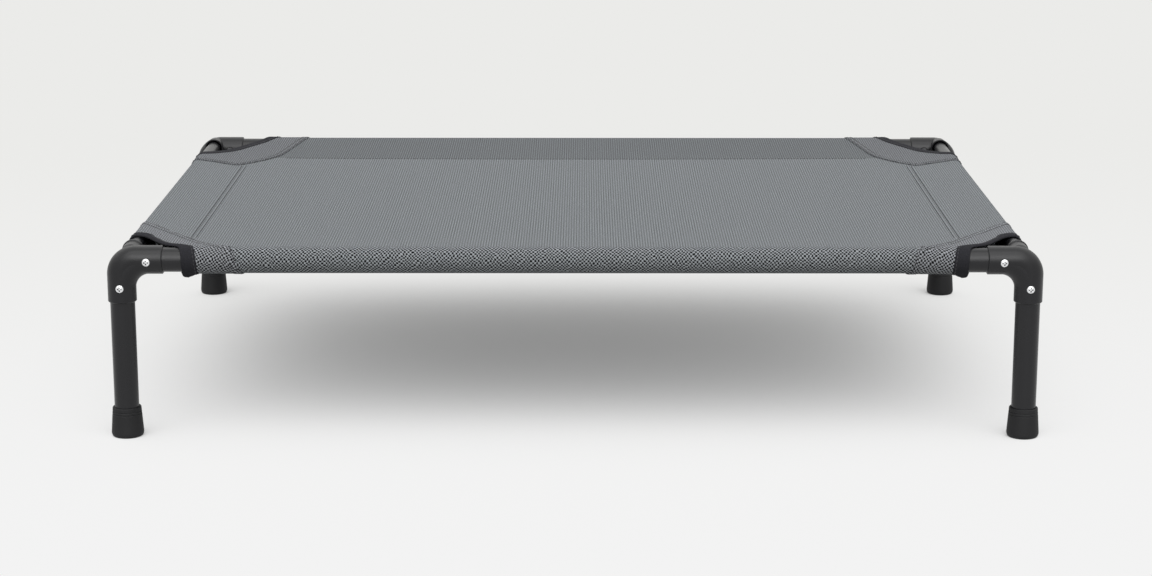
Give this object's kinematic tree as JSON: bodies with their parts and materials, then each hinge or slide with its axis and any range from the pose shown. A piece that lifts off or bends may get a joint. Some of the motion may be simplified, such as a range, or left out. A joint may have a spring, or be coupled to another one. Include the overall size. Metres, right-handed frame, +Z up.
{
  "type": "raised dog cot",
  "caption": "Raised pet cot: a rectangular frame of black steel tube on short legs with rubber feet, moulded corner elbows and a grey woven mesh sling sleeved over the rails.",
  "frame": {"origin": "on the floor, under the middle of the cot", "axes": "+X along the length to the right, -Y towards the front, +Z up"},
  "size_m": [0.953, 0.663, 0.2009],
  "materials": {
    "steel_tube": "satin black powder coat",
    "elbow_plastic": "moulded, fine matt texture",
    "foot_rubber": "moulded, matt",
    "zinc_steel": "bright zinc plate",
    "black_steel": "blackened lock nut",
    "woven_mesh": "coated yarn in a basket weave",
    "patch_cloth": "fine plain weave",
    "binding_tape": "ribbed woven tape"
  },
  "bodies": {
    "root": {"front_rail": "steel_tube", "rear_rail": "steel_tube", "left_rail": "steel_tube", "right_rail": "steel_tube", "sling": "woven_mesh", "leg_front_left": "steel_tube", "leg_front_right": "steel_tube", "leg_rear_left": "steel_tube", "leg_rear_right": "steel_tube", "elbow_front_left": "elbow_plastic", "elbow_front_right": "elbow_plastic", "elbow_rear_left": "elbow_plastic", "elbow_rear_right": "elbow_plastic", "foot_front_left": "foot_rubber", "foot_front_right": "foot_rubber", "foot_rear_left": "foot_rubber", "foot_rear_right": "foot_rubber", "patch_front_left": "patch_cloth", "patch_front_right": "patch_cloth", "patch_rear_left": "patch_cloth", "patch_rear_right": "patch_cloth", "binding_front_left": "binding_tape", "binding_front_right": "binding_tape", "binding_rear_left": "binding_tape", "binding_rear_right": "binding_tape", "screws_front_left": "zinc_steel", "screws_front_right": "zinc_steel", "screws_rear_left": "zinc_steel", "screws_rear_right": "zinc_steel", "nuts_front_left": "black_steel", "nuts_front_right": "black_steel", "nuts_rear_left": "black_steel", "nuts_rear_right": "black_steel"}
  },
  "joints": []
}
